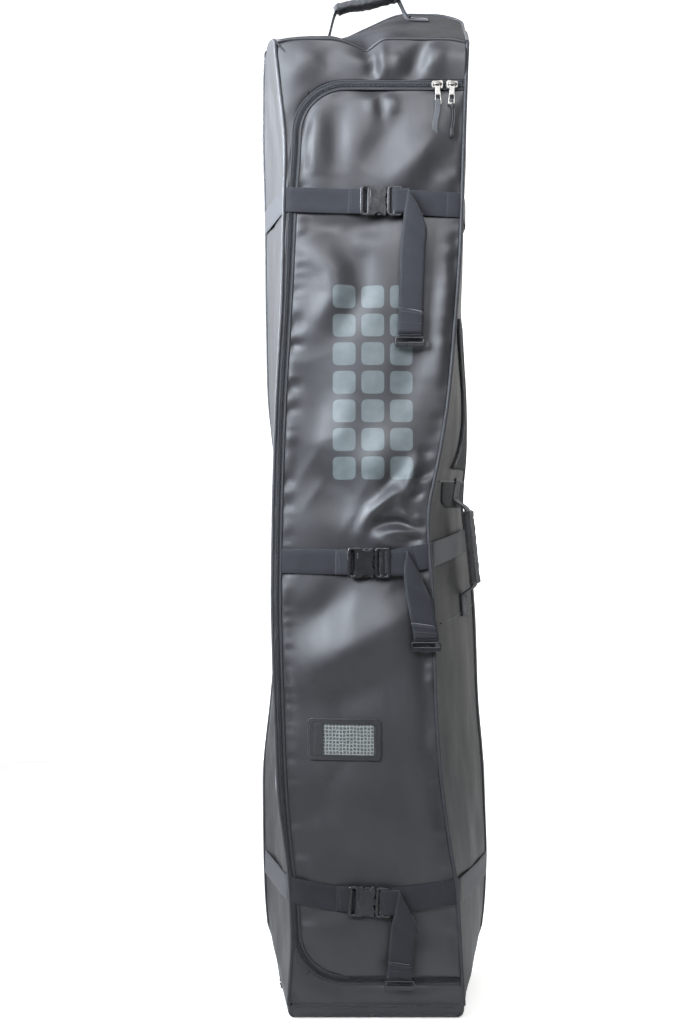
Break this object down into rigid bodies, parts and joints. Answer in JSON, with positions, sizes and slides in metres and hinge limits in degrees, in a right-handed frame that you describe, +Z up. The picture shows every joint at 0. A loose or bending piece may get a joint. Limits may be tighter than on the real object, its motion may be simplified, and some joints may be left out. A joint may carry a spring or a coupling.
{
  "type": "snowboard bag",
  "caption": "Tall padded snowboard bag on end, with a D-shaped zipped lid, compression straps with side-release buckles, grab handles and wheels at the foot.",
  "frame": {"origin": "centre of the bag's footprint, on the ground plane", "axes": "+Z up along the bag, -Y out of the front where the zipped lid is, +X to the right seen from the front, where the lid is hinged"},
  "size_m": [0.3688, 0.272, 1.6255],
  "materials": {
    "laminate": "coated tarpaulin laminate over a coarse base cloth, soft sheen",
    "boot": "moulded plastic, fine grain",
    "binding": "woven binding tape over piping",
    "foam": "closed-cell foam sheet",
    "sheet_plastic": "polyethylene sheet",
    "lining": "plain woven lining over a thin pad",
    "webbing": "ribbed nylon webbing, matte",
    "grip": "padded sleeve of woven cloth",
    "zip_tape": "coated zip tape with moulded coil",
    "steel": "zinc plated steel",
    "tyre": "polyurethane tyre on a moulded hub",
    "nickel": "nickel plated die casting",
    "buckle_plastic": "moulded acetal, semi-gloss black",
    "clear_window": "clear flexible vinyl",
    "card": "card with a fine honeycomb print"
  },
  "bodies": {
    "root": {"back_panel": "laminate", "back_stiffener": "sheet_plastic", "base_boot": "boot", "board_divider": "lining", "edge_piping": "binding", "foam_padding": "foam", "front_border": "laminate", "handle_anchors": "webbing", "housing_screws": "steel", "side_panel_left": "laminate", "side_panel_right": "laminate", "skid_rails": "sheet_plastic", "strap_side_runs": "webbing", "tie_down_straps": "webbing", "top_end_panel": "laminate", "wheel_axles": "steel", "wheel_housings": "boot", "zip_half_outer": "zip_tape"},
    "lid": {"lid_panel": "laminate", "lid_hinge_binding": "binding", "id_window_frame": "binding", "id_window_lens": "clear_window", "id_card": "card", "zip_half_lid": "zip_tape"},
    "top_handle": {"top_handle": "webbing", "top_grip": "grip"},
    "side_handle": {"side_handle": "webbing", "side_grip": "grip"},
    "wheel_left": {"wheel_left": "tyre"},
    "wheel_right": {"wheel_right": "tyre"},
    "zip_slider_left": {"zip_slider_left": "nickel"},
    "pull_tab_left": {"pull_tab_left": "nickel", "pull_cord_left": "webbing"},
    "zip_slider_right": {"zip_slider_right": "nickel"},
    "pull_tab_right": {"pull_tab_right": "nickel", "pull_cord_right": "webbing"},
    "strap_left_upper": {"strap_left_upper": "webbing", "buckle_female_upper": "buckle_plastic"},
    "strap_right_upper": {"strap_right_upper": "webbing"},
    "buckle_male_upper": {"buckle_male_upper": "buckle_plastic", "strap_tail_upper": "webbing"},
    "buckle_prong_a_upper": {"buckle_prong_a_upper": "buckle_plastic"},
    "buckle_prong_b_upper": {"buckle_prong_b_upper": "buckle_plastic"},
    "tail_loop_upper": {"tail_loop_upper": "buckle_plastic"},
    "strap_left_middle": {"strap_left_middle": "webbing", "buckle_female_middle": "buckle_plastic"},
    "strap_right_middle": {"strap_right_middle": "webbing"},
    "buckle_male_middle": {"buckle_male_middle": "buckle_plastic", "strap_tail_middle": "webbing"},
    "buckle_prong_a_middle": {"buckle_prong_a_middle": "buckle_plastic"},
    "buckle_prong_b_middle": {"buckle_prong_b_middle": "buckle_plastic"},
    "tail_loop_middle": {"tail_loop_middle": "buckle_plastic"},
    "strap_left_lower": {"strap_left_lower": "webbing", "buckle_female_lower": "buckle_plastic"},
    "strap_right_lower": {"strap_right_lower": "webbing"},
    "buckle_male_lower": {"buckle_male_lower": "buckle_plastic", "strap_tail_lower": "webbing"},
    "buckle_prong_a_lower": {"buckle_prong_a_lower": "buckle_plastic"},
    "buckle_prong_b_lower": {"buckle_prong_b_lower": "buckle_plastic"},
    "tail_loop_lower": {"tail_loop_lower": "buckle_plastic"}
  },
  "joints": [
    {"name": "lid_hinge", "type": "hinge", "parent": "root", "child": "lid", "pos_m": [0.137, -0.115, 0.745], "axis": [0, 0, 1], "range_deg": [0, 170]},
    {"name": "top_handle_swing", "type": "hinge", "parent": "root", "child": "top_handle", "pos_m": [0, 0.05, 1.59348], "axis": [1, 0, 0], "range_deg": [-50, 100]},
    {"name": "side_handle_swing", "type": "hinge", "parent": "root", "child": "side_handle", "pos_m": [0.16593, 0.00694, 0.711], "axis": [0, 0, 1], "range_deg": [-30, 30]},
    {"name": "wheel_left_spin", "type": "hinge", "parent": "root", "child": "wheel_left", "pos_m": [-0.132, 0.095, 0.044], "axis": [1, 0, 0], "continuous": true},
    {"name": "wheel_right_spin", "type": "hinge", "parent": "root", "child": "wheel_right", "pos_m": [0.132, 0.095, 0.044], "axis": [1, 0, 0], "continuous": true},
    {"name": "zip_slider_left_run", "type": "slide", "parent": "lid", "child": "zip_slider_left", "axis": [1, 0, 0], "range_m": [-0.13, 0]},
    {"name": "pull_tab_left_swing", "type": "hinge", "parent": "zip_slider_left", "child": "pull_tab_left", "pos_m": [0.095, -0.1226, 1.43], "axis": [-1, 0, 0], "range_deg": [0, 140]},
    {"name": "zip_slider_right_run", "type": "slide", "parent": "lid", "child": "zip_slider_right", "axis": [1, 0, 0], "range_m": [0, 0.008]},
    {"name": "pull_tab_right_swing", "type": "hinge", "parent": "zip_slider_right", "child": "pull_tab_right", "pos_m": [0.118, -0.1226, 1.43], "axis": [-1, 0, 0], "range_deg": [0, 140]},
    {"name": "strap_left_upper_drop", "type": "hinge", "parent": "root", "child": "strap_left_upper", "pos_m": [-0.134, -0.1192, 1.25], "axis": [0, 1, 0], "range_deg": [0, 90]},
    {"name": "strap_right_upper_swing", "type": "hinge", "parent": "lid", "child": "strap_right_upper", "pos_m": [0.1385, -0.1175, 1.25], "axis": [0, 0, -1], "range_deg": [-170, 0]},
    {"name": "buckle_release_upper", "type": "slide", "parent": "strap_right_upper", "child": "buckle_male_upper", "axis": [1, 0, 0], "range_m": [0, 0.03]},
    {"name": "prong_a_upper_squeeze", "type": "hinge", "parent": "buckle_male_upper", "child": "buckle_prong_a_upper", "pos_m": [0.0176, -0.1255, 1.264], "axis": [0, 1, 0], "range_deg": [-6, 0]},
    {"name": "prong_b_upper_squeeze", "type": "hinge", "parent": "buckle_male_upper", "child": "buckle_prong_b_upper", "pos_m": [0.0176, -0.1255, 1.236], "axis": [0, 1, 0], "range_deg": [0, 6]},
    {"name": "tail_loop_upper_lift", "type": "hinge", "parent": "buckle_male_upper", "child": "tail_loop_upper", "pos_m": [0.053, -0.135, 1.0408], "axis": [-1, 0, 0], "range_deg": [0, 110]},
    {"name": "strap_left_middle_drop", "type": "hinge", "parent": "root", "child": "strap_left_middle", "pos_m": [-0.134, -0.1192, 0.7], "axis": [0, 1, 0], "range_deg": [0, 90]},
    {"name": "strap_right_middle_swing", "type": "hinge", "parent": "lid", "child": "strap_right_middle", "pos_m": [0.1385, -0.1175, 0.7], "axis": [0, 0, -1], "range_deg": [-170, 0]},
    {"name": "buckle_release_middle", "type": "slide", "parent": "strap_right_middle", "child": "buckle_male_middle", "axis": [1, 0, 0], "range_m": [0, 0.03]},
    {"name": "prong_a_middle_squeeze", "type": "hinge", "parent": "buckle_male_middle", "child": "buckle_prong_a_middle", "pos_m": [-0.0014, -0.1255, 0.714], "axis": [0, 1, 0], "range_deg": [-6, 0]},
    {"name": "prong_b_middle_squeeze", "type": "hinge", "parent": "buckle_male_middle", "child": "buckle_prong_b_middle", "pos_m": [-0.0014, -0.1255, 0.686], "axis": [0, 1, 0], "range_deg": [0, 6]},
    {"name": "tail_loop_middle_lift", "type": "hinge", "parent": "buckle_male_middle", "child": "tail_loop_middle", "pos_m": [0.077, -0.135, 0.5788], "axis": [-1, 0, 0], "range_deg": [0, 110]},
    {"name": "strap_left_lower_drop", "type": "hinge", "parent": "root", "child": "strap_left_lower", "pos_m": [-0.134, -0.1192, 0.184], "axis": [0, 1, 0], "range_deg": [0, 90]},
    {"name": "strap_right_lower_swing", "type": "hinge", "parent": "lid", "child": "strap_right_lower", "pos_m": [0.1385, -0.1175, 0.184], "axis": [0, 0, -1], "range_deg": [-170, 0]},
    {"name": "buckle_release_lower", "type": "slide", "parent": "strap_right_lower", "child": "buckle_male_lower", "axis": [1, 0, 0], "range_m": [0, 0.03]},
    {"name": "prong_a_lower_squeeze", "type": "hinge", "parent": "buckle_male_lower", "child": "buckle_prong_a_lower", "pos_m": [-0.0004, -0.1255, 0.198], "axis": [0, 1, 0], "range_deg": [-6, 0]},
    {"name": "prong_b_lower_squeeze", "type": "hinge", "parent": "buckle_male_lower", "child": "buckle_prong_b_lower", "pos_m": [-0.0004, -0.1255, 0.17], "axis": [0, 1, 0], "range_deg": [0, 6]},
    {"name": "tail_loop_lower_lift", "type": "hinge", "parent": "buckle_male_lower", "child": "tail_loop_lower", "pos_m": [0.037, -0.135, 0.0648], "axis": [-1, 0, 0], "range_deg": [0, 110]}
  ],
  "couplings": [
    {"joint": "strap_left_upper_drop", "follows": "lid_hinge", "ratio": 0.52941},
    {"joint": "prong_b_upper_squeeze", "follows": "prong_a_upper_squeeze", "ratio": -1},
    {"joint": "strap_left_middle_drop", "follows": "lid_hinge", "ratio": 0.52941},
    {"joint": "prong_b_middle_squeeze", "follows": "prong_a_middle_squeeze", "ratio": -1},
    {"joint": "strap_left_lower_drop", "follows": "lid_hinge", "ratio": 0.52941},
    {"joint": "prong_b_lower_squeeze", "follows": "prong_a_lower_squeeze", "ratio": -1}
  ]
}
